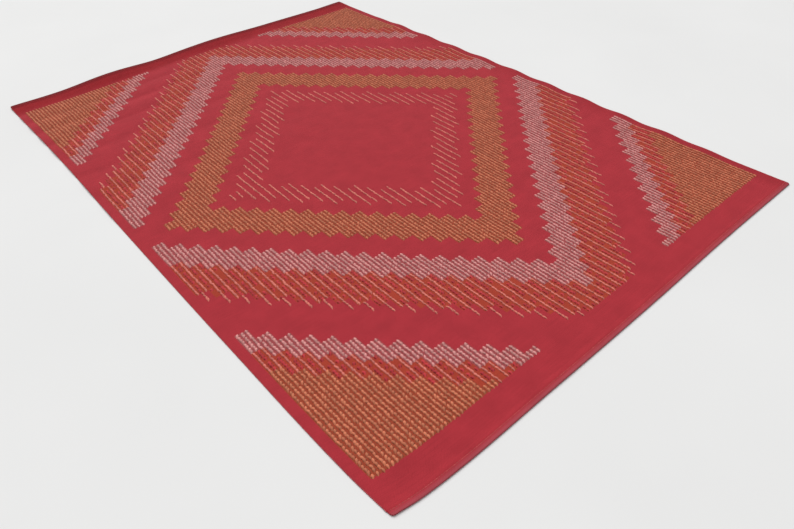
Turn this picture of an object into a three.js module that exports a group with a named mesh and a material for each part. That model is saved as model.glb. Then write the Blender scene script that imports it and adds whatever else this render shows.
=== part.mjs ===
// A flat-woven wool carpet, laid out on a floor.
//
// It is one cloth. Its two ends are turned under as hems, and its long sides are the loom's own
// edges. It doesn't lie quite flat, because it has lain rolled up: shallow arches cross it towards
// the far end, that end curls up off the floor, and the right side stands up a little in flutes.
//
// Millimetres, +Z up. The origin is on the floor under the middle of the carpet, +X runs across
// the width and +Y along the length, from the near end to the far end.

import * as THREE from 'three';

// The cloth
const WIDTH = 2000;
const LENGTH = 2820;
const CLOTH_THICKNESS = 2.5;

// The hems, where the cloth lies double and pressed
const HEM_DEPTH = 22;
const HEM_THICKNESS = 4;
const HEM_SLOPE = 14;

// How much of its half thickness an edge is rounded by, and the radius of the corners in plan
const EDGE_ROUNDNESS = 0.9;
const CORNER_RADIUS = 11;
const CORNER_REACH = 60;

// How far each edge stands outside its straight line, at places along that line
const NEAR_END = [
  { at: -1000, out: -16 },
  { at: -900, out: -4 },
  { at: -420, out: 0 },
  { at: 100, out: -3 },
  { at: 500, out: -11 },
  { at: 1000, out: -13 },
];
const FAR_END = [
  { at: -1000, out: -12 },
  { at: -500, out: -12 },
  { at: 0, out: 0 },
  { at: 450, out: -4 },
  { at: 800, out: -22 },
  { at: 1000, out: -28 },
];
const LEFT_SIDE = [
  { at: -1410, out: -12 },
  { at: -1250, out: -3 },
  { at: -700, out: 0 },
  { at: 200, out: -5 },
  { at: 700, out: -11 },
  { at: 1410, out: -5 },
];
const RIGHT_SIDE = [
  { at: -1410, out: -8 },
  { at: -800, out: -16 },
  { at: -250, out: -7 },
  { at: 150, out: -6 },
  { at: 600, out: -15 },
  { at: 1410, out: -25 },
];

// Creases across the width, left by the flattened roll, closer together towards its inner end.
// Beyond each the cloth stands in an arch to the next. They fade out before the middle.
const CREASES = [
  { at: 130, arch: 3.4 },
  { at: 340, arch: 4.4 },
  { at: 550, arch: 4.0 },
  { at: 730, arch: 5.0 },
  { at: 900, arch: 6.0 },
  { at: 1045, arch: 6.0 },
  { at: 1170, arch: 4.0 },
  { at: 1285, arch: 0 },
];
const ARCHES_FULL_TO = -260;
const ARCHES_GONE_AT = 160;
const CREASE_SKEW = 0.03;

// The far end's curl: how high it lifts off the floor, at places along that end
const END_LIFTS = [
  { at: -1010, rise: 3, reach: 190 },
  { at: -500, rise: 13, reach: 290 },
  { at: 90, rise: 8.5, reach: 400 },
  { at: 980, rise: 3, reach: 170 },
];
const END_LIFT_CREST = 8;
const END_LIFT_DEPTH = 140;
const END_LIFT_AT_EDGE = 0.94;

// The right side: it stands off the floor all along, and higher in its flutes
const SIDE_LIFT = 4;
const SIDE_LIFT_DEPTH = 150;
const FLUTE_PITCH = 213;
const FLUTE_RISE = 4;
const FLUTE_OUT = 3;
const FLUTES_FROM = -1200;
const FLUTES_TO = 1060;

// The mesh: how far its lines stand from an edge, and their spacing between
const SIDE_LINES = [0, 1, 4, 28, 70];
const END_LINES = [0, 1, 4, 10, 22, 36, 70];
const FAR_LINES = [105];
const COLUMN_SPACING = 124;
const ROW_SPACING = 54;
const ARCH_ROW_SPACING = 24;

const WOOL_COLOUR = 0xa93a44;
const WOOL_ROUGHNESS = 0.95;


// A smooth curve through a table's rows, read at one place along it
function curveThrough(table) {
  const places = table.map((row) => row.at);
  const values = table.map((row) => row.out);
  const curve = new THREE.CubicInterpolant(places, values, 1);
  return (at) => curve.evaluate(at)[0];
}

const nearEndOut = curveThrough(NEAR_END);
const farEndOut = curveThrough(FAR_END);
const leftSideOut = curveThrough(LEFT_SIDE);
const rightSideOut = curveThrough(RIGHT_SIDE);

// A soft hump: 1 at its middle and 0 at its reach
function hump(distance, reach) {
  if (Math.abs(distance) >= reach) return 0;
  return 0.5 + 0.5 * Math.cos(Math.PI * distance / reach);
}

// The height of the arches between the creases
function archHeight(x, y) {
  const fade = 1 - THREE.MathUtils.smoothstep(x, ARCHES_FULL_TO, ARCHES_GONE_AT);
  const along = y - CREASE_SKEW * (x + WIDTH / 2);
  const next = CREASES.findIndex((crease) => along < crease.at);
  if (next < 1) return 0;
  const { at, arch } = CREASES[next - 1];
  const part = (along - at) / (CREASES[next].at - at);
  return 4 * arch * fade * part * (1 - part);
}

// The far end's curl, which climbs nearly to its edge
function endLiftHeight(x, fromFarEnd) {
  const inside = fromFarEnd - END_LIFT_CREST;
  const profile = inside > 0
    ? hump(inside, END_LIFT_DEPTH - END_LIFT_CREST)
    : END_LIFT_AT_EDGE + (1 - END_LIFT_AT_EDGE) * hump(inside, END_LIFT_CREST);
  return END_LIFTS.reduce((sum, lift) => sum + lift.rise * hump(x - lift.at, lift.reach), 0) * profile;
}

// How much of the right side's lift there is at a place along it: none at its ends, then all of it
function sideStrength(y) {
  if (y < FLUTES_FROM || y > FLUTES_TO) return 0;
  return Math.min((y - FLUTES_FROM) / FLUTE_PITCH, (FLUTES_TO - y) / FLUTE_PITCH, 1);
}

// How strongly the right side is fluted at a place along it, from 0 to 1
function fluteStrength(y) {
  return sideStrength(y) * (0.5 - 0.5 * Math.cos(2 * Math.PI * (y - FLUTES_FROM) / FLUTE_PITCH));
}

// The right side's height above the floor
function sideLiftHeight(x, y) {
  const height = SIDE_LIFT * sideStrength(y) + FLUTE_RISE * fluteStrength(y);
  return height * hump(WIDTH / 2 - x, SIDE_LIFT_DEPTH);
}

// How far a rounded edge or corner has fallen back at a distance inside it
function roundedBack(distance, radius) {
  if (distance >= radius) return 0;
  return radius - Math.sqrt(radius ** 2 - (radius - distance) ** 2);
}

// The cloth is double in the hems and slopes down to single beyond them
function thicknessAt(fromEnd) {
  const single = THREE.MathUtils.smoothstep(fromEnd, HEM_DEPTH, HEM_DEPTH + HEM_SLOPE);
  return THREE.MathUtils.lerp(HEM_THICKNESS, CLOTH_THICKNESS, single);
}

// Where a point of the flat rectangle lies in plan, once the edges have their true lines
function placeInPlan(x, y) {
  const across = x / WIDTH + 0.5;
  const along = y / LENGTH + 0.5;
  const fromEnd = LENGTH / 2 - Math.abs(y);
  const fromSide = WIDTH / 2 - Math.abs(x);
  const cornerBack = roundedBack(fromEnd, CORNER_RADIUS) * Math.max(0, 1 - fromSide / CORNER_REACH);
  const right = (rightSideOut(y) + FLUTE_OUT * fluteStrength(y)) * across;
  const left = leftSideOut(y) * (1 - across);
  const far = farEndOut(x) * along;
  const near = nearEndOut(x) * (1 - along);
  return {
    x: x + right - left - Math.sign(x) * cornerBack,
    y: y + far - near,
  };
}

// The top or the underside of the cloth at a point of the flat rectangle
function surfacePoint(x, y, side) {
  const fromEnd = LENGTH / 2 - Math.abs(y);
  const fromSide = WIDTH / 2 - Math.abs(x);
  const thickness = thicknessAt(fromEnd);
  const edge = roundedBack(Math.min(fromEnd, fromSide), thickness / 2) * EDGE_ROUNDNESS;
  const floor = archHeight(x, y) + endLiftHeight(x, LENGTH / 2 - y) + sideLiftHeight(x, y);
  const plan = placeInPlan(x, y);
  const z = side === 'top' ? floor + thickness - edge : floor + edge;
  return [plan.x, plan.y, z];
}

// Evenly spaced places from one value to another, without the last
function evenly(from, to, spacing) {
  const steps = Math.round((to - from) / spacing);
  return Array.from({ length: steps }, (_, step) => from + (to - from) * step / steps);
}

function columnPlaces() {
  const left = SIDE_LINES.map((inside) => inside - WIDTH / 2);
  const right = left.map((x) => -x).reverse();
  return [...left.slice(0, -1), ...evenly(left.at(-1), right[0], COLUMN_SPACING), ...right];
}

function rowPlaces() {
  const near = END_LINES.map((inside) => inside - LENGTH / 2);
  const far = [...END_LINES, ...FAR_LINES].map((inside) => LENGTH / 2 - inside).reverse();
  return [
    ...near.slice(0, -1),
    ...evenly(near.at(-1), CREASES[0].at, ROW_SPACING),
    ...evenly(CREASES[0].at, far[0], ARCH_ROW_SPACING),
    ...far,
  ];
}

// The closed cloth: a grid for the top, a grid for the underside, and a rim that joins them
function clothGeometry() {
  const xs = columnPlaces();
  const ys = rowPlaces();
  const positions = [];
  for (const side of ['top', 'under']) {
    for (const y of ys) {
      for (const x of xs) positions.push(...surfacePoint(x, y, side));
    }
  }

  const columns = xs.length;
  const rows = ys.length;
  const underStart = columns * rows;
  const top = (row, column) => row * columns + column;
  const under = (row, column) => underStart + top(row, column);
  const faces = [];
  const addQuad = (a, b, c, d) => faces.push(a, b, c, a, c, d);

  for (let row = 0; row < rows - 1; row += 1) {
    for (let column = 0; column < columns - 1; column += 1) {
      addQuad(top(row, column), top(row, column + 1), top(row + 1, column + 1), top(row + 1, column));
      addQuad(under(row, column), under(row + 1, column), under(row + 1, column + 1), under(row, column + 1));
    }
  }
  for (let column = 0; column < columns - 1; column += 1) {
    const last = rows - 1;
    addQuad(under(0, column), under(0, column + 1), top(0, column + 1), top(0, column));
    addQuad(under(last, column + 1), under(last, column), top(last, column), top(last, column + 1));
  }
  for (let row = 0; row < rows - 1; row += 1) {
    const last = columns - 1;
    addQuad(under(row + 1, 0), under(row, 0), top(row, 0), top(row + 1, 0));
    addQuad(under(row, last), under(row + 1, last), top(row + 1, last), top(row, last));
  }

  const geometry = new THREE.BufferGeometry();
  geometry.setAttribute('position', new THREE.Float32BufferAttribute(positions, 3));
  geometry.setIndex(faces);
  return geometry;
}

// The uneven edges leave the cloth slightly off its rectangle, so it is set back over the origin
function centreOverOrigin(geometry) {
  geometry.computeBoundingBox();
  const middle = geometry.boundingBox.getCenter(new THREE.Vector3());
  geometry.translate(-middle.x, -middle.y, -geometry.boundingBox.min.z);
  return geometry;
}

function carpet() {
  const wool = new THREE.MeshStandardMaterial({
    color: WOOL_COLOUR,
    roughness: WOOL_ROUGHNESS,
    metalness: 0,
  });
  const geometry = centreOverOrigin(clothGeometry());
  geometry.computeVertexNormals();
  const mesh = new THREE.Mesh(geometry, wool);
  mesh.name = 'carpet';
  return mesh;
}

const group = new THREE.Group();
group.add(carpet());

export default group;
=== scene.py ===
import math

import bpy
import numpy as np
from mathutils import Matrix, Vector, noise


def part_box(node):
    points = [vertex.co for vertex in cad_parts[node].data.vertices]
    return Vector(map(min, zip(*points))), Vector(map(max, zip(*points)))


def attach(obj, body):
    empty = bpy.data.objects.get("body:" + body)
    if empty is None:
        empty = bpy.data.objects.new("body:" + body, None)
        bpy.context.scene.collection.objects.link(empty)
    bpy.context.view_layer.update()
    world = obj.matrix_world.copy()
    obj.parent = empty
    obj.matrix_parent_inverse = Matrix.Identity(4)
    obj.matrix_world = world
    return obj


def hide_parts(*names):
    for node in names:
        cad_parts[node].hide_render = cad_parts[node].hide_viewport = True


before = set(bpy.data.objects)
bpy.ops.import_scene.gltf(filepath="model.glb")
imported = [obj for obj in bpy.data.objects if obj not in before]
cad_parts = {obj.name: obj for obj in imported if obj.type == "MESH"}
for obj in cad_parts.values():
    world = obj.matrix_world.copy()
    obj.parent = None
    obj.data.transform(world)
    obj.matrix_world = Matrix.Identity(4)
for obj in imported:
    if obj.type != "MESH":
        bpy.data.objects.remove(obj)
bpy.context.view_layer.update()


# The camera stands where the photograph was taken from: outside the near left corner, at chest
# height, looking down along the carpet. It is made first, and nothing else moves it.
CAMERA_PLACE = (-1.4421, -1.9973, 1.4399)
CAMERA_HEADING = 39.62
CAMERA_PITCH_DOWN = 41.15
CAMERA_ROLL = -2.34
CAMERA_LENS = 29.65

camera_data = bpy.data.cameras.new("camera")
camera_data.lens = CAMERA_LENS
camera = bpy.data.objects.new("camera", camera_data)
bpy.context.scene.collection.objects.link(camera)
camera.matrix_world = (
    Matrix.Translation(CAMERA_PLACE)
    @ Matrix.Rotation(math.radians(-CAMERA_HEADING), 4, "Z")
    @ Matrix.Rotation(math.radians(90.0 - CAMERA_PITCH_DOWN), 4, "X")
    @ Matrix.Rotation(math.radians(CAMERA_ROLL), 4, "Z")
)
bpy.context.scene.camera = camera


# The cloth is one piece of wool, woven flat, 2.5 mm thick. Both its ends are turned under
# once and pressed, so it lies double there. It has lain rolled up: shallow arches cross it
# between creases, its far end curls up, and its right side stands off the floor in flutes.
WIDTH = 2.000
LENGTH = 2.820
CLOTH_THICKNESS = 0.0025
HEM_DEPTH = 0.022
HEM_THICKNESS = 0.004
HEM_SLOPE = 0.014
STITCH_ROW = 0.017
STITCH_DIP = 0.00025
STITCH_DIP_REACH = 0.005
EDGE_ROUNDNESS = 0.90
CORNER_RADIUS = 0.011
CORNER_REACH = 0.060

NEAR_END = {"at": (-1.0, -0.9, -0.42, 0.1, 0.5, 1.0),
            "out": (-0.016, -0.004, 0.0, -0.003, -0.011, -0.013)}
FAR_END = {"at": (-1.0, -0.5, 0.0, 0.45, 0.8, 1.0),
           "out": (-0.012, -0.012, 0.0, -0.004, -0.022, -0.028)}
LEFT_SIDE = {"at": (-1.41, -1.25, -0.7, 0.2, 0.7, 1.41),
             "out": (-0.012, -0.003, 0.0, -0.005, -0.011, -0.005)}
RIGHT_SIDE = {"at": (-1.41, -0.8, -0.25, 0.15, 0.6, 1.41),
              "out": (-0.008, -0.016, -0.007, -0.006, -0.015, -0.025)}

CREASES = {"at": (0.130, 0.340, 0.550, 0.730, 0.900, 1.045, 1.170, 1.285),
           "arch": (0.0034, 0.0044, 0.0040, 0.0050, 0.0060, 0.0060, 0.0040, 0.0)}
ARCHES_FULL_TO = -0.260
ARCHES_GONE_AT = 0.160
CREASE_SKEW = 0.03

END_LIFTS = {"at": (-1.01, -0.50, 0.09, 0.98),
             "rise": (0.003, 0.013, 0.0085, 0.003),
             "reach": (0.190, 0.290, 0.400, 0.170)}
END_LIFT_CREST = 0.008
END_LIFT_DEPTH = 0.140
END_LIFT_AT_EDGE = 0.94

SIDE_LIFT = 0.004
SIDE_LIFT_DEPTH = 0.150
FLUTE_PITCH = 0.213
FLUTE_RISE = 0.004
FLUTE_OUT = 0.003
FLUTES_FROM = -1.200
FLUTES_TO = 1.060

# What is left uneven: a little slack in the cloth, and threads that wander sideways.
SLACK_RISE = 0.0012
SLACK_SIZE = 0.34
SLACK_LAYER = 3.7
WANDER = 0.0010
WANDER_SIZE = 0.11
WANDER_LAYER = 9.1
WANDER_FULL_INSIDE = 0.05

# Lines of the cloth's mesh beside its field, by how far each stands inside the edge.
SIDE_LINES = (0.0, 0.001, 0.0035, 0.010, 0.020)
END_LINES = (0.0, 0.001, 0.0035, 0.007, 0.0105, 0.014, 0.017, 0.020, 0.022, 0.026,
             0.031, 0.036, 0.046, 0.060, 0.080, 0.100)

# The pattern is woven in columns of floats, with a row of them every 12 mm. Three columns by
# four rows make one step, and rings of steps round the middle make nested lozenges. Each band
# has its last ring, its ground's colour, and its yarn, which lies in every so many columns.
COLUMN_PITCH = 0.015
ROW_PITCH = 0.012
COLUMNS = 129
ROWS = 216
COLUMNS_A_STEP = 3
ROWS_A_STEP = 4
BANDS = [
    {"name": "centre", "last_ring": 10, "ground": "crimson", "yarn": "none", "every": 1},
    {"name": "hatched_band", "last_ring": 13, "ground": "crimson", "yarn": "salmon", "every": 2},
    {"name": "inner_gap", "last_ring": 15, "ground": "crimson", "yarn": "none", "every": 1},
    {"name": "orange_band", "last_ring": 19, "ground": "rust", "yarn": "orange", "every": 1},
    {"name": "middle_gap", "last_ring": 22, "ground": "crimson", "yarn": "none", "every": 1},
    {"name": "pink_band", "last_ring": 25, "ground": "plum", "yarn": "pink", "every": 1},
    {"name": "lined_band", "last_ring": 29, "ground": "vermilion", "yarn": "salmon", "every": 2},
    {"name": "spaced_band", "last_ring": 30, "ground": "crimson", "yarn": "salmon", "every": 3},
    {"name": "outer_gap", "last_ring": 34, "ground": "crimson", "yarn": "none", "every": 1},
    {"name": "corner_pink", "last_ring": 36, "ground": "plum", "yarn": "pink", "every": 1},
    {"name": "corner_lines", "last_ring": 38, "ground": "vermilion", "yarn": "salmon", "every": 2},
    {"name": "corner_orange", "last_ring": 99, "ground": "rust", "yarn": "orange", "every": 1},
]
GROUND_COLOURS = {
    "crimson": (0.452, 0.034, 0.047),
    "rust": (0.370, 0.064, 0.031),
    "plum": (0.402, 0.078, 0.082),
    "vermilion": (0.435, 0.055, 0.030),
}
NO_BAND = -1

# The colour is painted darker towards the far end, most at its rim, and along the right side:
# painted shade. At the near end it is painted paler along the hem's outer edge: painted light.
FAR_PAINTED_SHADE = (0.74, 0.26, 0.32)
FAR_SHADE_FULL_TO = 0.070
FAR_SHADE_FROM_END = 0.170
FAR_RIM_PAINTED_SHADE = 0.42
FAR_RIM_FROM = 0.050
RIGHT_PAINTED_SHADE = (0.86, 0.74, 0.76)
RIGHT_SHADE_FROM_EDGE = 0.090
NEAR_PAINTED_LIGHT = (0.99, 2.12, 1.94)
NEAR_LIGHT_FULL_INSIDE = 0.003
NEAR_LIGHT_TO = 0.020

# Most values of a texture lie between these two. The nap of the wool is soft.
TEXTURE_DARK = 0.3
TEXTURE_LIGHT = 0.7
SHEEN_ROUGHNESS = 0.55


def smooth_through(table, at):
    """Reads a table's smooth curve at some places along it."""
    places = np.array(table["at"])
    values = np.array(table["out"])
    secants = np.diff(values) / np.diff(places)
    slopes = np.concatenate(([secants[0]], (secants[1:] + secants[:-1]) / 2, [secants[-1]]))
    i = np.clip(np.searchsorted(places, at) - 1, 0, len(secants) - 1)
    span = places[i + 1] - places[i]
    p = (at - places[i]) / span
    ends = (1 + 2 * p) * (1 - p) ** 2 * values[i] + p ** 2 * (3 - 2 * p) * values[i + 1]
    bends = p * (1 - p) ** 2 * slopes[i] - p ** 2 * (1 - p) * slopes[i + 1]
    return ends + bends * span


def hump(distance, reach):
    """A soft hump: 1 at its middle and 0 at its reach."""
    inside = np.clip(np.abs(distance) / reach, 0.0, 1.0)
    return 0.5 + 0.5 * np.cos(np.pi * inside)


def smooth_step(value, low, high):
    p = np.clip((value - low) / (high - low), 0.0, 1.0)
    return p * p * (3 - 2 * p)


def rounded_back(distance, radius):
    """How far a rounded edge has fallen back at a distance inside it."""
    short = np.clip(radius - distance, 0.0, radius)
    return radius - np.sqrt(radius ** 2 - short ** 2)


def soft_noise(x, y, size, layer):
    """Even noise from -1 to 1, with soft patches of about the given size."""
    def value(a, b):
        return noise.noise(Vector((a / size, b / size, layer)))
    return np.vectorize(value)(x, y)


def side_strength(y):
    """How much of the right side's lift there is: none at its ends, then all of it."""
    return np.clip(np.minimum(y - FLUTES_FROM, FLUTES_TO - y) / FLUTE_PITCH, 0.0, 1.0)


def flute_strength(y):
    waves = 0.5 - 0.5 * np.cos(2 * np.pi * (y - FLUTES_FROM) / FLUTE_PITCH)
    return waves * side_strength(y)


def arch_height(x, y):
    """The height of the arches between the creases."""
    along = y - CREASE_SKEW * (x + WIDTH / 2)
    starts = np.array(CREASES["at"])
    i = np.clip(np.searchsorted(starts, along) - 1, 0, len(starts) - 2)
    part = np.clip((along - starts[i]) / (starts[i + 1] - starts[i]), 0.0, 1.0)
    fade = 1 - smooth_step(x, ARCHES_FULL_TO, ARCHES_GONE_AT)
    return 4 * np.array(CREASES["arch"])[i] * fade * part * (1 - part)


def end_lift_height(x, from_far_end):
    """The far end's curl, which climbs nearly to its edge."""
    lift = np.zeros_like(x)
    for place, rise, reach in zip(*END_LIFTS.values()):
        lift += rise * hump(x - place, reach)
    inside = from_far_end - END_LIFT_CREST
    climbing = hump(inside, END_LIFT_DEPTH - END_LIFT_CREST)
    at_edge = END_LIFT_AT_EDGE + (1 - END_LIFT_AT_EDGE) * hump(inside, END_LIFT_CREST)
    return lift * np.where(inside > 0, climbing, at_edge)


def underside_height(x, y):
    """How high the cloth's underside stands above the floor at a place on the flat cloth."""
    side = SIDE_LIFT * side_strength(y) + FLUTE_RISE * flute_strength(y)
    side = side * hump(WIDTH / 2 - x, SIDE_LIFT_DEPTH)
    slack = SLACK_RISE * np.clip(soft_noise(x, y, SLACK_SIZE, SLACK_LAYER), 0.0, 1.0)
    return arch_height(x, y) + end_lift_height(x, LENGTH / 2 - y) + side + slack


def place_in_plan(x, y):
    """Where a place on the flat cloth lies in plan, once its edges have their true lines."""
    across = x / WIDTH + 0.5
    along = y / LENGTH + 0.5
    from_end = LENGTH / 2 - np.abs(y)
    from_side = WIDTH / 2 - np.abs(x)
    corner = rounded_back(from_end, CORNER_RADIUS) * np.clip(1 - from_side / CORNER_REACH, 0, 1)
    right = (smooth_through(RIGHT_SIDE, y) + FLUTE_OUT * flute_strength(y)) * across
    left = smooth_through(LEFT_SIDE, y) * (1 - across)
    far = smooth_through(FAR_END, x) * along
    near = smooth_through(NEAR_END, x) * (1 - along)
    wander = WANDER * soft_noise(x, y, WANDER_SIZE, WANDER_LAYER)
    wander = wander * smooth_step(from_side, 0.0, WANDER_FULL_INSIDE)
    return x + right - left - np.sign(x) * corner + wander, y + far - near


def cloth_surface(x, y, is_top):
    """The points of the cloth's top or underside, for places on the flat cloth."""
    from_end = LENGTH / 2 - np.abs(y)
    from_side = WIDTH / 2 - np.abs(x)
    single = smooth_step(from_end, HEM_DEPTH, HEM_DEPTH + HEM_SLOPE)
    thickness = HEM_THICKNESS + (CLOTH_THICKNESS - HEM_THICKNESS) * single
    edge = EDGE_ROUNDNESS * rounded_back(np.minimum(from_end, from_side), thickness / 2)
    dip = STITCH_DIP * hump(from_end - STITCH_ROW, STITCH_DIP_REACH)
    height = underside_height(x, y)
    height = height + (thickness - edge - dip if is_top else edge)
    plan_x, plan_y = place_in_plan(x, y)
    return np.stack([plan_x, plan_y, height], axis=-1)


def painted_shade_and_light(x, y):
    """The cloth's colour is multiplied by this: under 1 for painted shade, over 1 for painted light.
    """
    # Painted shade: darker towards the far end, most at its rim, and along the right side.
    far = 1 - smooth_step(LENGTH / 2 - y, FAR_SHADE_FULL_TO, FAR_SHADE_FROM_END)
    right = 1 - smooth_step(WIDTH / 2 - x, 0.0, RIGHT_SHADE_FROM_EDGE)
    far_shade = 1 - np.outer(far, 1 - np.array(FAR_PAINTED_SHADE))
    right_shade = 1 - np.outer(right, 1 - np.array(RIGHT_PAINTED_SHADE))
    far_rim = 1 - smooth_step(LENGTH / 2 - y, CORNER_RADIUS, FAR_RIM_FROM)
    far_shade *= (1 - FAR_RIM_PAINTED_SHADE * far_rim)[:, np.newaxis]
    # Painted light: the near hem's outer edge is painted paler.
    near_light = 1 - smooth_step(LENGTH / 2 + y, NEAR_LIGHT_FULL_INSIDE, NEAR_LIGHT_TO)
    return np.minimum(far_shade, right_shade) * (1 + np.outer(near_light, np.array(NEAR_PAINTED_LIGHT) - 1))


def cloth_lines(pitch, count, half, margins):
    """Grid lines across the cloth: one at each column or row edge, and closer ones in the margins."""
    field = (np.arange(count + 1) - count / 2) * pitch
    low = np.array(margins) - half
    return np.concatenate((low, field, -low[::-1]))


def cloth_faces(rows, columns):
    """A closed cloth's faces: a grid for the top, one for the underside, and a rim to join them."""
    number = np.arange(rows * columns).reshape(rows, columns)
    corners = (number[:-1, :-1], number[:-1, 1:], number[1:, 1:], number[1:, :-1])
    top_faces = np.stack(corners, axis=-1).reshape(-1, 4)
    under_faces = top_faces[:, ::-1] + rows * columns
    rim = np.concatenate((number[0], number[1:, -1], number[-1, -2::-1], number[-2:0:-1, 0]))
    ahead = np.roll(rim, -1)
    rim_faces = np.stack([rim + rows * columns, ahead + rows * columns, ahead, rim], axis=-1)
    return np.concatenate((top_faces, under_faces, rim_faces))


def pattern_on_faces(rows, columns, face_count):
    """Each face's band of the pattern, which only the top has, and its column from the middle."""
    column = np.arange(columns - 1) - len(SIDE_LINES) - COLUMNS // 2
    row = np.arange(rows - 1) - len(END_LINES)
    column, row = np.meshgrid(column, row)
    row_from_middle = np.abs(row - (ROWS - 1) / 2)
    ring_across = (np.abs(column) + COLUMNS_A_STEP // 2) // COLUMNS_A_STEP
    ring_along = (row_from_middle + ROWS_A_STEP // 2) // ROWS_A_STEP
    last_rings = [part["last_ring"] for part in BANDS]
    band = np.searchsorted(last_rings, ring_across + ring_along)
    in_field = (np.abs(column) <= COLUMNS // 2) & (row >= 0) & (row < ROWS)
    band = np.where(in_field, band, NO_BAND).ravel()
    rest = face_count - len(band)
    return {
        "band": np.concatenate((band, np.full(rest, NO_BAND))),
        "column": np.concatenate((np.abs(column).ravel(), np.zeros(rest, dtype=int))),
    }


def ground_colours(band, faces, flat_x, flat_y):
    """The ground colour at each face corner, with painted shade and light. Crimson outside the bands.
    """
    grounds = [GROUND_COLOURS[part["ground"]] for part in BANDS] + [GROUND_COLOURS["crimson"]]
    shade_and_light = painted_shade_and_light(np.tile(flat_x.ravel(), 2), np.tile(flat_y.ravel(), 2))
    colours = np.repeat(np.array(grounds)[band], 4, axis=0) * shade_and_light[faces.ravel()]
    return np.concatenate((colours, np.ones((len(colours), 1))), axis=1)


def build_cloth():
    """The cloth, and how far it was set back to lie over the origin."""
    xs = cloth_lines(COLUMN_PITCH, COLUMNS, WIDTH / 2, SIDE_LINES)
    ys = cloth_lines(ROW_PITCH, ROWS, LENGTH / 2, END_LINES)
    flat_x, flat_y = np.meshgrid(xs, ys)
    top = cloth_surface(flat_x, flat_y, True).reshape(-1, 3)
    under = cloth_surface(flat_x, flat_y, False).reshape(-1, 3)
    points = np.concatenate((top, under))

    # The uneven edges leave the cloth slightly off its rectangle: it is set back over the origin.
    box_middle = np.array(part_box("carpet")).mean(axis=0)
    set_back = box_middle - (points.min(axis=0) + points.max(axis=0)) / 2
    set_back[2] = 0.0
    points += set_back

    faces = cloth_faces(*flat_x.shape)
    mesh = bpy.data.meshes.new("cloth")
    mesh.from_pydata(points.tolist(), [], faces.tolist())
    mesh.polygons.foreach_set("use_smooth", np.ones(len(faces), dtype=bool))

    # The cloth keeps its pattern, its colours, and where each of its points lies on it when flat.
    pattern = pattern_on_faces(*flat_x.shape, len(faces))
    for name, values in pattern.items():
        mesh.attributes.new(name, "INT", "FACE").data.foreach_set("value", values.astype(np.int32))
    colours = ground_colours(pattern["band"], faces, flat_x, flat_y)
    ground = mesh.color_attributes.new("ground_colour", "FLOAT_COLOR", "CORNER")
    ground.data.foreach_set("color", colours.astype(np.float32).ravel())
    flat = np.stack([flat_x, flat_y, np.zeros_like(flat_x)], axis=-1).reshape(-1, 3)
    flat_place = mesh.attributes.new("flat_place", "FLOAT_VECTOR", "POINT")
    flat_place.data.foreach_set("vector", np.concatenate((flat, flat)).astype(np.float32).ravel())

    cloth = bpy.data.objects.new("cloth", mesh)
    bpy.context.scene.collection.objects.link(cloth)
    return cloth, set_back


def add_node(tree, kind, inputs=None, **settings):
    """Adds a node, sets its options, and gives its inputs a value or a link from another socket.

    An input goes by its number, or by its name among those in use under the node's options.
    """
    made = tree.nodes.new(kind)
    for name, value in settings.items():
        setattr(made, name, value)
    for name, value in (inputs or {}).items():
        if isinstance(name, int):
            socket = made.inputs[name]
        else:
            socket = next(s for s in made.inputs if s.name == name and s.enabled)
        if isinstance(value, bpy.types.NodeSocket):
            tree.links.new(value, socket)
        else:
            socket.default_value = value
    return made


def sum_of(tree, a, b):
    return add_node(tree, "ShaderNodeMath", {0: a, 1: b}, operation="ADD").outputs[0]


def product_of(tree, a, b):
    return add_node(tree, "ShaderNodeMath", {0: a, 1: b}, operation="MULTIPLY").outputs[0]


def start_material(name, roughness, shine, sheen, sheen_tint):
    """A new material, with its constants set on its shader."""
    material = bpy.data.materials.new(name)
    material.use_nodes = True
    shader = material.node_tree.nodes["Principled BSDF"]
    shader.inputs["Roughness"].default_value = roughness
    shader.inputs["Specular IOR Level"].default_value = shine
    shader.inputs["Sheen Weight"].default_value = sheen
    shader.inputs["Sheen Roughness"].default_value = SHEEN_ROUGHNESS
    shader.inputs["Sheen Tint"].default_value = (*sheen_tint, 1.0)
    return material, material.node_tree, shader


def scaled_colour(tree, colour, amount):
    return add_node(tree, "ShaderNodeVectorMath", {
        0: colour,
        "Scale": amount,
    }, operation="SCALE").outputs["Vector"]


def lighten_by(tree, colour, factor_socket, low, high):
    """Scales a colour by a texture, from low where it is dark to high where it is light."""
    amount = add_node(tree, "ShaderNodeMapRange", {
        "Value": factor_socket,
        "From Min": TEXTURE_DARK,
        "From Max": TEXTURE_LIGHT,
        "To Min": low,
        "To Max": high,
    })
    return scaled_colour(tree, colour, amount.outputs["Result"])


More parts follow.
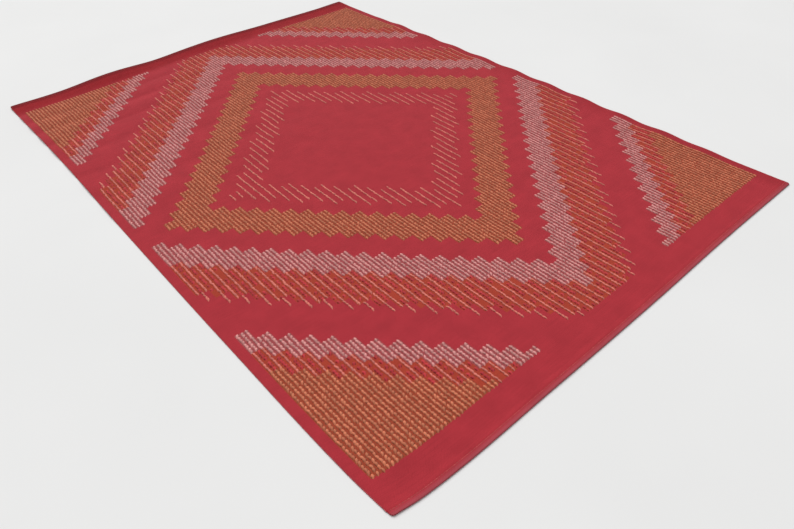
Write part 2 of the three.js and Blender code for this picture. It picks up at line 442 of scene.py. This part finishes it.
def ground_cloth_material():
    material, tree, shader = start_material(
        "ground_cloth", roughness=0.90, shine=0.12, sheen=0.03, sheen_tint=(0.9, 0.6, 0.6))
    place = add_node(tree, "ShaderNodeAttribute", attribute_name="flat_place").outputs["Vector"]
    colour = add_node(tree, "ShaderNodeAttribute", attribute_name="ground_colour").outputs["Color"]

    # Broad patches, weft yarns that differ a little from each other, and mixed fibres.
    patches = add_node(tree, "ShaderNodeTexNoise", {"Vector": place, "Scale": 14.0, "Detail": 6.0})
    colour = lighten_by(tree, colour, patches.outputs["Fac"], low=0.93, high=1.07)
    along_weft = add_node(tree, "ShaderNodeMapping", {"Vector": place, "Scale": (7.0, 420.0, 1.0)})
    yarns = add_node(tree, "ShaderNodeTexNoise", {
        "Vector": along_weft.outputs["Vector"],
        "Scale": 1.0,
        "Detail": 2.0,
    })
    colour = lighten_by(tree, colour, yarns.outputs["Fac"], low=0.93, high=1.07)
    fibres = add_node(tree, "ShaderNodeTexNoise", {"Vector": place, "Scale": 900.0, "Detail": 3.0})
    colour = lighten_by(tree, colour, fibres.outputs["Fac"], low=0.86, high=1.12)

    # Plain weave: short weft stitches over fine warp ribs, each row set off from the last. The gaps
    # between the stitches are painted darker: painted shade.
    weave = add_node(tree, "ShaderNodeTexBrick", {
        "Vector": place,
        "Scale": 1.0,
        "Mortar Size": 0.0006,
        "Mortar Smooth": 1.0,
        "Brick Width": 0.0050,
        "Row Height": 0.0024,
    }, offset=0.5)
    stitch_gap_shade = add_node(tree, "ShaderNodeMapRange", {
        "Value": weave.outputs["Fac"],
        "To Min": 1.04,
        "To Max": 0.80,
    })
    shaded = scaled_colour(tree, colour, stitch_gap_shade.outputs["Result"])
    tree.links.new(shaded, shader.inputs["Base Color"])

    height = product_of(tree, weave.outputs["Fac"], -1.0)
    fuzz = product_of(tree, fibres.outputs["Fac"], 0.5)
    bump = add_node(tree, "ShaderNodeBump", {
        "Height": sum_of(tree, height, fuzz),
        "Strength": 0.6,
        "Distance": 0.0006,
    })
    tree.links.new(bump.outputs["Normal"], shader.inputs["Normal"])
    return material


cloth, cloth_set_back = build_cloth()
cloth.data.materials.append(ground_cloth_material())
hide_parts("carpet")
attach(cloth, "root")


# The orange floats are thick soft wool, thrown over the ground cloth in columns and caught down
# between. Each is a short flattish grain that leans a little to the right, on a rust ground.
FLOAT_SIDES = 5
FLOAT_RINGS = 4
FLOAT_LENGTH = 0.0130
FLOAT_WIDTH = 0.0100
FLOAT_HEIGHT = 0.0021
FLOAT_LEAN = -17.0
FLOAT_LEAN_VARIES = 18.0
STRANDS_ACROSS = 1.25
STRAND_TWIST = 28.0
YARN_RELIEF = 0.0004
ORANGE = (0.660, 0.204, 0.110)

# A float's shape, in shares of its own size: how high the middle of its length stands, how far it
# drops from there to its ends, and how much of its section is gone at them.
FLOAT_ARCH = 0.30
FLOAT_ARCH_DROP = 0.42
FLOAT_TAPER = 0.86

# No two floats are alike: how far each may lie off its place, and how much its size varies.
FLOAT_STRAY_ACROSS = 0.0009
FLOAT_STRAY_ALONG = 0.0020
FLOAT_WIDTH_VARIES = (0.88, 1.10)
FLOAT_LENGTH_VARIES = (0.88, 1.12)
FLOAT_HEIGHT_VARIES = (0.82, 1.15)

# A number from 0 to 1 is drawn for each float, which is made if that is below the share. So a
# share over 1 makes them all.
ALL_FLOATS = 1.1


def start_tree(name, inputs):
    """A new tree that makes floats, and the values that its named inputs are given."""
    tree = bpy.data.node_groups.new(name, "GeometryNodeTree")
    for input_name, kind in inputs:
        tree.interface.new_socket(name=input_name, in_out="INPUT", socket_type=kind)
    tree.interface.new_socket(name="Floats", in_out="OUTPUT", socket_type="NodeSocketGeometry")
    return tree, add_node(tree, "NodeGroupInput").outputs


def random_between(tree, given, low, high, steps):
    """A random number for each float, from the given seed moved on by some steps."""
    made = add_node(tree, "FunctionNodeRandomValue", {
        "Min": low,
        "Max": high,
        "Seed": sum_of(tree, given["Seed"], steps),
    }, data_type="FLOAT")
    return next(s for s in made.outputs if s.enabled)


def varied_size(tree, given, size, limits, steps):
    """One of the given sizes, a little smaller or larger from one float to the next."""
    return product_of(tree, given[size], random_between(tree, given, *limits, steps))


def stray_lean(tree, given, steps):
    less = product_of(tree, given["Lean varies"], -1.0)
    return random_between(tree, given, less, given["Lean varies"], steps)


def in_radians(tree, degrees):
    return add_node(tree, "ShaderNodeMath", {0: degrees}, operation="RADIANS").outputs[0]


def with_yarn_place(tree, shape):
    """Keeps each point's place on one piece of yarn, for the yarn's own pattern."""
    position = add_node(tree, "GeometryNodeInputPosition").outputs[0]
    return add_node(tree, "GeometryNodeStoreNamedAttribute", {
        "Geometry": shape,
        "Name": "yarn_place",
        "Value": position,
    }, data_type="FLOAT_VECTOR", domain="POINT").outputs[0]


def yarn_float_shape(tree):
    """One float, a unit long, wide and high: an arched grain with drawn-in ends."""
    line = add_node(tree, "GeometryNodeCurvePrimitiveLine", {
        "Start": (0.0, -0.5, 0.0),
        "End": (0.0, 0.5, 0.0),
    })
    rings = add_node(tree, "GeometryNodeResampleCurve", {
        "Curve": line.outputs[0],
        "Count": FLOAT_RINGS,
    })
    where = add_node(tree, "GeometryNodeSplineParameter").outputs["Factor"]
    centred = add_node(tree, "ShaderNodeMath", {0: where, 1: 2.0, 2: -1.0}, operation="MULTIPLY_ADD")
    squared = product_of(tree, centred.outputs[0], centred.outputs[0])
    arch = sum_of(tree, product_of(tree, squared, -FLOAT_ARCH_DROP), FLOAT_ARCH)
    offset = add_node(tree, "ShaderNodeCombineXYZ", {"Z": arch})
    arched = add_node(tree, "GeometryNodeSetPosition", {
        "Geometry": rings.outputs[0],
        "Offset": offset.outputs[0],
    })
    inner = sum_of(tree, product_of(tree, squared, -FLOAT_TAPER), 1.0)
    plump = add_node(tree, "ShaderNodeMath", {0: inner}, operation="SQRT")
    section = add_node(tree, "GeometryNodeCurvePrimitiveCircle", {
        "Resolution": FLOAT_SIDES,
        "Radius": 0.5,
    })
    body = add_node(tree, "GeometryNodeCurveToMesh", {
        "Curve": arched.outputs[0],
        "Profile Curve": section.outputs[0],
        "Scale": plump.outputs[0],
        "Fill Caps": True,
    })
    return with_yarn_place(tree, body.outputs[0])


def finish_yarn(tree, given, placed, steps):
    """Gives each placed piece of yarn a tint of its own and the material, and makes them all real."""
    tinted = add_node(tree, "GeometryNodeStoreNamedAttribute", {
        "Geometry": placed,
        "Name": "tint",
        "Value": random_between(tree, given, 0.0, 1.0, steps),
    }, data_type="FLOAT", domain="INSTANCE")
    real = add_node(tree, "GeometryNodeRealizeInstances", {"Geometry": tinted.outputs[0]})
    smooth = add_node(tree, "GeometryNodeSetShadeSmooth", {"Geometry": real.outputs[0]})
    done = add_node(tree, "GeometryNodeSetMaterial", {
        "Geometry": smooth.outputs[0],
        "Material": given["Yarn"],
    })
    add_node(tree, "NodeGroupOutput", {"Floats": done.outputs[0]})


def face_number(tree, name):
    made = add_node(tree, "GeometryNodeInputNamedAttribute", {"Name": name}, data_type="INT")
    return made.outputs["Attribute"]


def compared(tree, a, b, data_type, operation):
    return add_node(tree, "FunctionNodeCompare", {
        "A": a,
        "B": b,
    }, data_type=data_type, operation=operation).outputs[0]


def boolean(tree, a, b, operation):
    return add_node(tree, "FunctionNodeBooleanMath", {0: a, 1: b}, operation=operation).outputs[0]


def chosen_faces(tree, given):
    """The faces of one band that are in its columns, or between them, and of those a share."""
    beside = add_node(tree, "ShaderNodeMath", {
        0: face_number(tree, "column"),
        1: given["Every"],
    }, operation="MODULO").outputs[0]
    in_band = compared(tree, face_number(tree, "band"), given["Band"], "INT", "EQUAL")
    on_a_column = compared(tree, beside, 0, "INT", "EQUAL")
    in_column = boolean(tree, on_a_column, given["Between"], "XOR")
    drawn = random_between(tree, given, 0.0, 1.0, steps=8)
    in_share = compared(tree, drawn, given["Share"], "FLOAT", "LESS_THAN")
    return boolean(tree, boolean(tree, in_band, in_column, "AND"), in_share, "AND")


def leaning_on_cloth(tree, given):
    """Floats lie along the cloth's own slope, and lean the same way, but no two quite alike."""
    lean = sum_of(tree, given["Lean"], stray_lean(tree, given, steps=3))
    euler = add_node(tree, "ShaderNodeCombineXYZ", {"Z": in_radians(tree, lean)})
    leaning = add_node(tree, "FunctionNodeEulerToRotation", {0: euler.outputs[0]})
    up = add_node(tree, "GeometryNodeInputNamedAttribute", {"Name": "up"}, data_type="FLOAT_VECTOR")
    return add_node(tree, "FunctionNodeAlignRotationToVector", {
        "Rotation": leaning.outputs[0],
        "Vector": up.outputs["Attribute"],
    }, axis="Z").outputs[0]


def yarn_floats_tree():
    """Puts floats on the faces of one band: in every first, second or third column, or between."""
    tree, given = start_tree("yarn_floats", (
        ("Cloth", "NodeSocketGeometry"),
        ("Band", "NodeSocketInt"),
        ("Every", "NodeSocketInt"),
        ("Between", "NodeSocketBool"),
        ("Share", "NodeSocketFloat"),
        ("Length", "NodeSocketFloat"),
        ("Width", "NodeSocketFloat"),
        ("Height", "NodeSocketFloat"),
        ("Lean", "NodeSocketFloat"),
        ("Lean varies", "NodeSocketFloat"),
        ("Seed", "NodeSocketInt"),
        ("Yarn", "NodeSocketMaterial"),
    ))
    kept = add_node(tree, "GeometryNodeStoreNamedAttribute", {
        "Geometry": given["Cloth"],
        "Name": "up",
        "Value": add_node(tree, "GeometryNodeInputNormal").outputs[0],
    }, data_type="FLOAT_VECTOR", domain="FACE")
    spots = add_node(tree, "GeometryNodeMeshToPoints", {
        "Mesh": kept.outputs[0],
        "Selection": chosen_faces(tree, given),
    }, mode="FACES")
    shift = add_node(tree, "ShaderNodeCombineXYZ", {
        "X": random_between(tree, given, -FLOAT_STRAY_ACROSS, FLOAT_STRAY_ACROSS, steps=1),
        "Y": random_between(tree, given, -FLOAT_STRAY_ALONG, FLOAT_STRAY_ALONG, steps=2),
    })
    spots = add_node(tree, "GeometryNodeSetPosition", {
        "Geometry": spots.outputs[0],
        "Offset": shift.outputs[0],
    })
    size = add_node(tree, "ShaderNodeCombineXYZ", {
        "X": varied_size(tree, given, "Width", FLOAT_WIDTH_VARIES, steps=4),
        "Y": varied_size(tree, given, "Length", FLOAT_LENGTH_VARIES, steps=5),
        "Z": varied_size(tree, given, "Height", FLOAT_HEIGHT_VARIES, steps=6),
    })
    placed = add_node(tree, "GeometryNodeInstanceOnPoints", {
        "Points": spots.outputs[0],
        "Instance": yarn_float_shape(tree),
        "Rotation": leaning_on_cloth(tree, given),
        "Scale": size.outputs[0],
    })
    finish_yarn(tree, given, placed.outputs[0], steps=7)
    return tree


def apply_tree(piece, tree, values):
    """Runs a tree on a piece with its named inputs set, and keeps the result as a plain mesh."""
    modifier = piece.modifiers.new(tree.name, "NODES")
    modifier.node_group = tree
    for item in tree.interface.items_tree:
        if item.in_out == "INPUT" and item.name in values:
            modifier[item.identifier] = values[item.name]
    graph = bpy.context.evaluated_depsgraph_get()
    mesh = bpy.data.meshes.new_from_object(piece.evaluated_get(graph))
    piece.modifiers.clear()
    source = piece.data
    piece.data = mesh
    mesh.name = piece.name
    bpy.data.meshes.remove(source)


def yarn_material(name, colour, dark, relief_depth):
    """Soft yarn: a few slightly twisted strands side by side, uneven from one float to the next."""
    material, tree, shader = start_material(
        name, roughness=0.90, shine=0.12, sheen=0.08, sheen_tint=(0.95, 0.8, 0.75))
    base = add_node(tree, "ShaderNodeRGB")
    base.outputs[0].default_value = (*colour, 1.0)
    tint = add_node(tree, "ShaderNodeAttribute", attribute_name="tint").outputs["Fac"]
    tinted_colour = lighten_by(tree, base.outputs[0], tint, low=0.84, high=1.12)
    place = add_node(tree, "ShaderNodeAttribute", attribute_name="yarn_place").outputs["Vector"]

    twisted = add_node(tree, "ShaderNodeMapping", {
        "Vector": place,
        "Rotation": (0.0, 0.0, math.radians(STRAND_TWIST)),
    })
    strands = add_node(tree, "ShaderNodeTexWave", {
        "Vector": twisted.outputs["Vector"],
        "Scale": STRANDS_ACROSS,
        "Distortion": 1.2,
        "Detail": 2.0,
    }, bands_direction="X")
    # The grooves between the strands are painted darker: painted shade.
    groove_shaded = lighten_by(tree, tinted_colour, strands.outputs["Fac"], low=dark, high=1.06)
    object_place = add_node(tree, "ShaderNodeTexCoord").outputs["Object"]
    fibres = add_node(tree, "ShaderNodeTexNoise", {
        "Vector": object_place,
        "Scale": 1300.0,
        "Detail": 3.0,
    })
    haired = lighten_by(tree, groove_shaded, fibres.outputs["Fac"], low=0.86, high=1.12)
    tree.links.new(haired, shader.inputs["Base Color"])
    relief = sum_of(tree, strands.outputs["Fac"], product_of(tree, fibres.outputs["Fac"], 0.8))
    bump = add_node(tree, "ShaderNodeBump", {
        "Height": relief,
        "Strength": 0.6,
        "Distance": relief_depth,
    })
    tree.links.new(bump.outputs["Normal"], shader.inputs["Normal"])
    return material


def lay_floats(bands, ending, tree, material, sizes, first_seed, between=False, share=ALL_FLOATS):
    """Makes one piece of floats for each of these bands."""
    made = []
    for number, band in enumerate(BANDS):
        if band not in bands:
            continue
        piece = bpy.data.objects.new(band["name"] + ending, cloth.data.copy())
        bpy.context.scene.collection.objects.link(piece)
        apply_tree(piece, tree, {
            "Band": number,
            "Every": band["every"],
            "Between": between,
            "Share": share,
            "Seed": first_seed + number,
            "Yarn": material,
            **sizes,
        })
        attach(piece, "root")
        made.append(piece)
    return made


def bands_in(yarn):
    return [band for band in BANDS if band["yarn"] == yarn]


floats_tree = yarn_floats_tree()
orange_yarn = yarn_material("orange_yarn", ORANGE, dark=0.80, relief_depth=YARN_RELIEF)
orange_floats = lay_floats(bands_in("orange"), "_floats", floats_tree, orange_yarn, {
    "Length": FLOAT_LENGTH,
    "Width": FLOAT_WIDTH,
    "Height": FLOAT_HEIGHT,
    "Lean": FLOAT_LEAN,
    "Lean varies": FLOAT_LEAN_VARIES,
}, first_seed=100)


# The pink floats are the same yarn in dusty pink, a little longer, over a plum ground.
PINK_FLOAT_LENGTH = 0.0134
PINK = (0.752, 0.318, 0.302)

pink_yarn = yarn_material("pink_yarn", PINK, dark=0.80, relief_depth=YARN_RELIEF)
pink_floats = lay_floats(bands_in("pink"), "_floats", floats_tree, pink_yarn, {
    "Length": PINK_FLOAT_LENGTH,
    "Width": FLOAT_WIDTH,
    "Height": FLOAT_HEIGHT,
    "Lean": FLOAT_LEAN,
    "Lean varies": FLOAT_LEAN_VARIES,
}, first_seed=200)


# The thin lines are salmon yarn. It runs in every second or third column only, and its floats
# overlap end to end, so each line is one wavy strand on the vermilion or crimson ground.
LINE_FLOAT_LENGTH = 0.0150
LINE_FLOAT_WIDTH = 0.0084
LINE_FLOAT_HEIGHT = 0.0022
LINE_LEAN = -8.0
LINE_LEAN_VARIES = 16.0
SALMON = (0.765, 0.212, 0.168)

salmon_yarn = yarn_material("salmon_yarn", SALMON, dark=0.80, relief_depth=YARN_RELIEF)
salmon_floats = lay_floats(bands_in("salmon"), "_floats", floats_tree, salmon_yarn, {
    "Length": LINE_FLOAT_LENGTH,
    "Width": LINE_FLOAT_WIDTH,
    "Height": LINE_FLOAT_HEIGHT,
    "Lean": LINE_LEAN,
    "Lean varies": LINE_LEAN_VARIES,
}, first_seed=300)


# Between the thin lines on the vermilion ground lie floats of the crimson wool itself. They are
# missing here and there, so those bands look mottled.
RED_FLOAT_LENGTH = 0.0134
RED_FLOAT_WIDTH = 0.0128
RED_FLOAT_HEIGHT = 0.0008
RED_FLOAT_SHARE = 0.72
RED = (0.530, 0.046, 0.052)

red_yarn = yarn_material("red_yarn", RED, dark=0.88, relief_depth=YARN_RELIEF)
mottled_bands = [band for band in BANDS if band["ground"] == "vermilion"]
red_floats = lay_floats(mottled_bands, "_red_floats", floats_tree, red_yarn, {
    "Length": RED_FLOAT_LENGTH,
    "Width": RED_FLOAT_WIDTH,
    "Height": RED_FLOAT_HEIGHT,
    "Lean": FLOAT_LEAN,
    "Lean varies": FLOAT_LEAN_VARIES,
}, first_seed=400, between=True, share=RED_FLOAT_SHARE)


# The hems are sewn down by machine, with one row of long stitches across each end, close to the
# turned-in edge. The thread is a little paler than the wool, and it has sunk into the cloth.
STITCH_PITCH = 0.0085
STITCH_LENGTH = 0.0062
STITCH_WIDTH = 0.0015
STITCH_HEIGHT = 0.0006
STITCH_LEAN_VARIES = 4.0
THREAD = (0.580, 0.115, 0.110)
THREAD_RELIEF = 0.00006
LINE_STEP = 0.020
ROW_WIDTH_VARIES = (0.90, 1.10)
ROW_LENGTH_VARIES = (0.92, 1.08)


def yarn_row_tree(name, unit_shape):
    """Repeats a short piece of yarn along lines, at an even pitch, lying along each line."""
    tree, given = start_tree(name, (
        ("Lines", "NodeSocketGeometry"),
        ("Pitch", "NodeSocketFloat"),
        ("Length", "NodeSocketFloat"),
        ("Width", "NodeSocketFloat"),
        ("Height", "NodeSocketFloat"),
        ("Tilt", "NodeSocketFloat"),
        ("Lean varies", "NodeSocketFloat"),
        ("Seed", "NodeSocketInt"),
        ("Yarn", "NodeSocketMaterial"),
    ))
    line = add_node(tree, "GeometryNodeMeshToCurve", {"Mesh": given["Lines"]})
    spots = add_node(tree, "GeometryNodeResampleCurve", {
        "Curve": line.outputs[0],
        "Length": given["Pitch"],
    }, mode="LENGTH")
    along = add_node(tree, "FunctionNodeAxesToRotation", {
        "Primary Axis": add_node(tree, "GeometryNodeInputTangent").outputs[0],
        "Secondary Axis": (0.0, 0.0, 1.0),
    }, primary_axis="Y", secondary_axis="Z")
    euler = add_node(tree, "ShaderNodeCombineXYZ", {
        "X": in_radians(tree, given["Tilt"]),
        "Z": in_radians(tree, stray_lean(tree, given, steps=1)),
    })
    leaning = add_node(tree, "FunctionNodeEulerToRotation", {0: euler.outputs[0]})
    turned = add_node(tree, "FunctionNodeRotateRotation", {
        "Rotation": along.outputs[0],
        "Rotate By": leaning.outputs[0],
    }, rotation_space="LOCAL")
    size = add_node(tree, "ShaderNodeCombineXYZ", {
        "X": varied_size(tree, given, "Width", ROW_WIDTH_VARIES, steps=2),
        "Y": varied_size(tree, given, "Length", ROW_LENGTH_VARIES, steps=3),
        "Z": given["Height"],
    })
    placed = add_node(tree, "GeometryNodeInstanceOnPoints", {
        "Points": spots.outputs[0],
        "Instance": unit_shape(tree),
        "Rotation": turned.outputs[0],
        "Scale": size.outputs[0],
    })
    finish_yarn(tree, given, placed.outputs[0], steps=4)
    return tree


def object_of_lines(name, lines):
    """A mesh of open lines, each given by its points."""
    mesh = bpy.data.meshes.new(name)
    points = np.concatenate(lines)
    edges = []
    start = 0
    for line in lines:
        edges += [(i, i + 1) for i in range(start, start + len(line) - 1)]
        start += len(line)
    mesh.from_pydata(points.tolist(), edges, [])
    made = bpy.data.objects.new(name, mesh)
    bpy.context.scene.collection.objects.link(made)
    return made


def stitch_line(end):
    """The line of stitches on one hem: end is -1 for the near one and 1 for the far one."""
    x = np.arange(-WIDTH / 2 + STITCH_PITCH, WIDTH / 2 - STITCH_PITCH, LINE_STEP)
    y = np.full_like(x, end * (LENGTH / 2 - STITCH_ROW))
    return cloth_surface(x, y, True) + cloth_set_back


hem_stitches = object_of_lines("hem_stitches", [stitch_line(-1), stitch_line(1)])
apply_tree(hem_stitches, yarn_row_tree("stitch_row", yarn_float_shape), {
    "Pitch": STITCH_PITCH,
    "Length": STITCH_LENGTH,
    "Width": STITCH_WIDTH,
    "Height": STITCH_HEIGHT,
    "Tilt": 0.0,
    "Lean varies": STITCH_LEAN_VARIES,
    "Seed": 500,
    "Yarn": yarn_material("sewing_thread", THREAD, dark=0.90, relief_depth=THREAD_RELIEF),
})
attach(hem_stitches, "root")


# The long sides are the loom's own edges. The weft turns back round the outermost warps there,
# and its turns stand close together like a thin leaning cord, from one hem to the other.
LOOP_PITCH = 0.0048
LOOP_LENGTH = 0.0056
LOOP_WIDTH = 0.0036
LOOP_HEIGHT = 0.0024
LOOP_TILT = 17.0
LOOP_LEAN_VARIES = 6.0
LOOP_SIDES = 7
LOOP_RINGS = 5
# The edge wool is painted paler than the crimson weft it is: painted light along the side edges.
EDGE_WOOL = (0.520, 0.085, 0.095)
EDGE_RELIEF = 0.00020


def loop_shape(tree):
    """One turn of the weft, a unit long, wide and high: a round grain."""
    grain = add_node(tree, "GeometryNodeMeshUVSphere", {
        "Segments": LOOP_SIDES,
        "Rings": LOOP_RINGS,
        "Radius": 0.5,
    })
    return with_yarn_place(tree, grain.outputs[0])


def loom_edge_line(side):
    """The line half way up one long side: side is -1 for the left and 1 for the right."""
    y = np.arange(-LENGTH / 2 + HEM_DEPTH, LENGTH / 2 - HEM_DEPTH, LINE_STEP / 2)
    x = np.full_like(y, side * WIDTH / 2)
    return (cloth_surface(x, y, True) + cloth_surface(x, y, False)) / 2 + cloth_set_back


loom_edges = object_of_lines("loom_edges", [loom_edge_line(-1), loom_edge_line(1)])
apply_tree(loom_edges, yarn_row_tree("loop_row", loop_shape), {
    "Pitch": LOOP_PITCH,
    "Length": LOOP_LENGTH,
    "Width": LOOP_WIDTH,
    "Height": LOOP_HEIGHT,
    "Tilt": LOOP_TILT,
    "Lean varies": LOOP_LEAN_VARIES,
    "Seed": 600,
    "Yarn": yarn_material("edge_wool", EDGE_WOOL, dark=0.90, relief_depth=EDGE_RELIEF),
})
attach(loom_edges, "root")


# The carpet lies on a floor of plain pale paint, matt and nearly even in tone. The floor is a
# hair below the cloth's underside.
FLOOR_HALF = 16.0
FLOOR_DROP = 0.0003
FLOOR_PALE = (0.83, 0.83, 0.825)


def floor_material():
    material, tree, shader = start_material(
        "floor_paint", roughness=0.75, shine=0.15, sheen=0.0, sheen_tint=(1.0, 1.0, 1.0))
    place = add_node(tree, "ShaderNodeTexCoord").outputs["Object"]
    base = add_node(tree, "ShaderNodeRGB")
    base.outputs[0].default_value = (*FLOOR_PALE, 1.0)
    patches = add_node(tree, "ShaderNodeTexNoise", {"Vector": place, "Scale": 1.2, "Detail": 3.0})
    paint = lighten_by(tree, base.outputs[0], patches.outputs["Fac"], low=0.985, high=1.015)
    tree.links.new(paint, shader.inputs["Base Color"])
    return material


floor_mesh = bpy.data.meshes.new("floor")
floor_corners = [(-FLOOR_HALF, -FLOOR_HALF, -FLOOR_DROP), (FLOOR_HALF, -FLOOR_HALF, -FLOOR_DROP),
                 (FLOOR_HALF, FLOOR_HALF, -FLOOR_DROP), (-FLOOR_HALF, FLOOR_HALF, -FLOOR_DROP)]
floor_mesh.from_pydata(floor_corners, [], [(0, 1, 2, 3)])
floor_mesh.materials.append(floor_material())
floor = bpy.data.objects.new("floor", floor_mesh)
bpy.context.scene.collection.objects.link(floor)


# The light is soft and white. Half comes evenly from the whole sky, and half from a broad bright
# part of it above the far end.
SKY_STRENGTH = 0.40
BRIGHT_SIDE = (0.30, 0.80, 0.82)
BRIGHT_STRENGTH = 2.66
BRIGHT_SPREAD = 50.0

world = bpy.data.worlds.new("sky")
world.use_nodes = True
world.node_tree.nodes["Background"].inputs["Color"].default_value = (1.0, 1.0, 1.0, 1.0)
world.node_tree.nodes["Background"].inputs["Strength"].default_value = SKY_STRENGTH
bpy.context.scene.world = world

bright_data = bpy.data.lights.new("bright_side", "SUN")
bright_data.energy = BRIGHT_STRENGTH
bright_data.angle = math.radians(BRIGHT_SPREAD)
bright_side = bpy.data.objects.new("bright_side", bright_data)
bpy.context.scene.collection.objects.link(bright_side)
bright_side.rotation_mode = "QUATERNION"
bright_side.rotation_quaternion = (-Vector(BRIGHT_SIDE)).to_track_quat("-Z", "Y")

bpy.context.scene.view_settings.view_transform = "Standard"
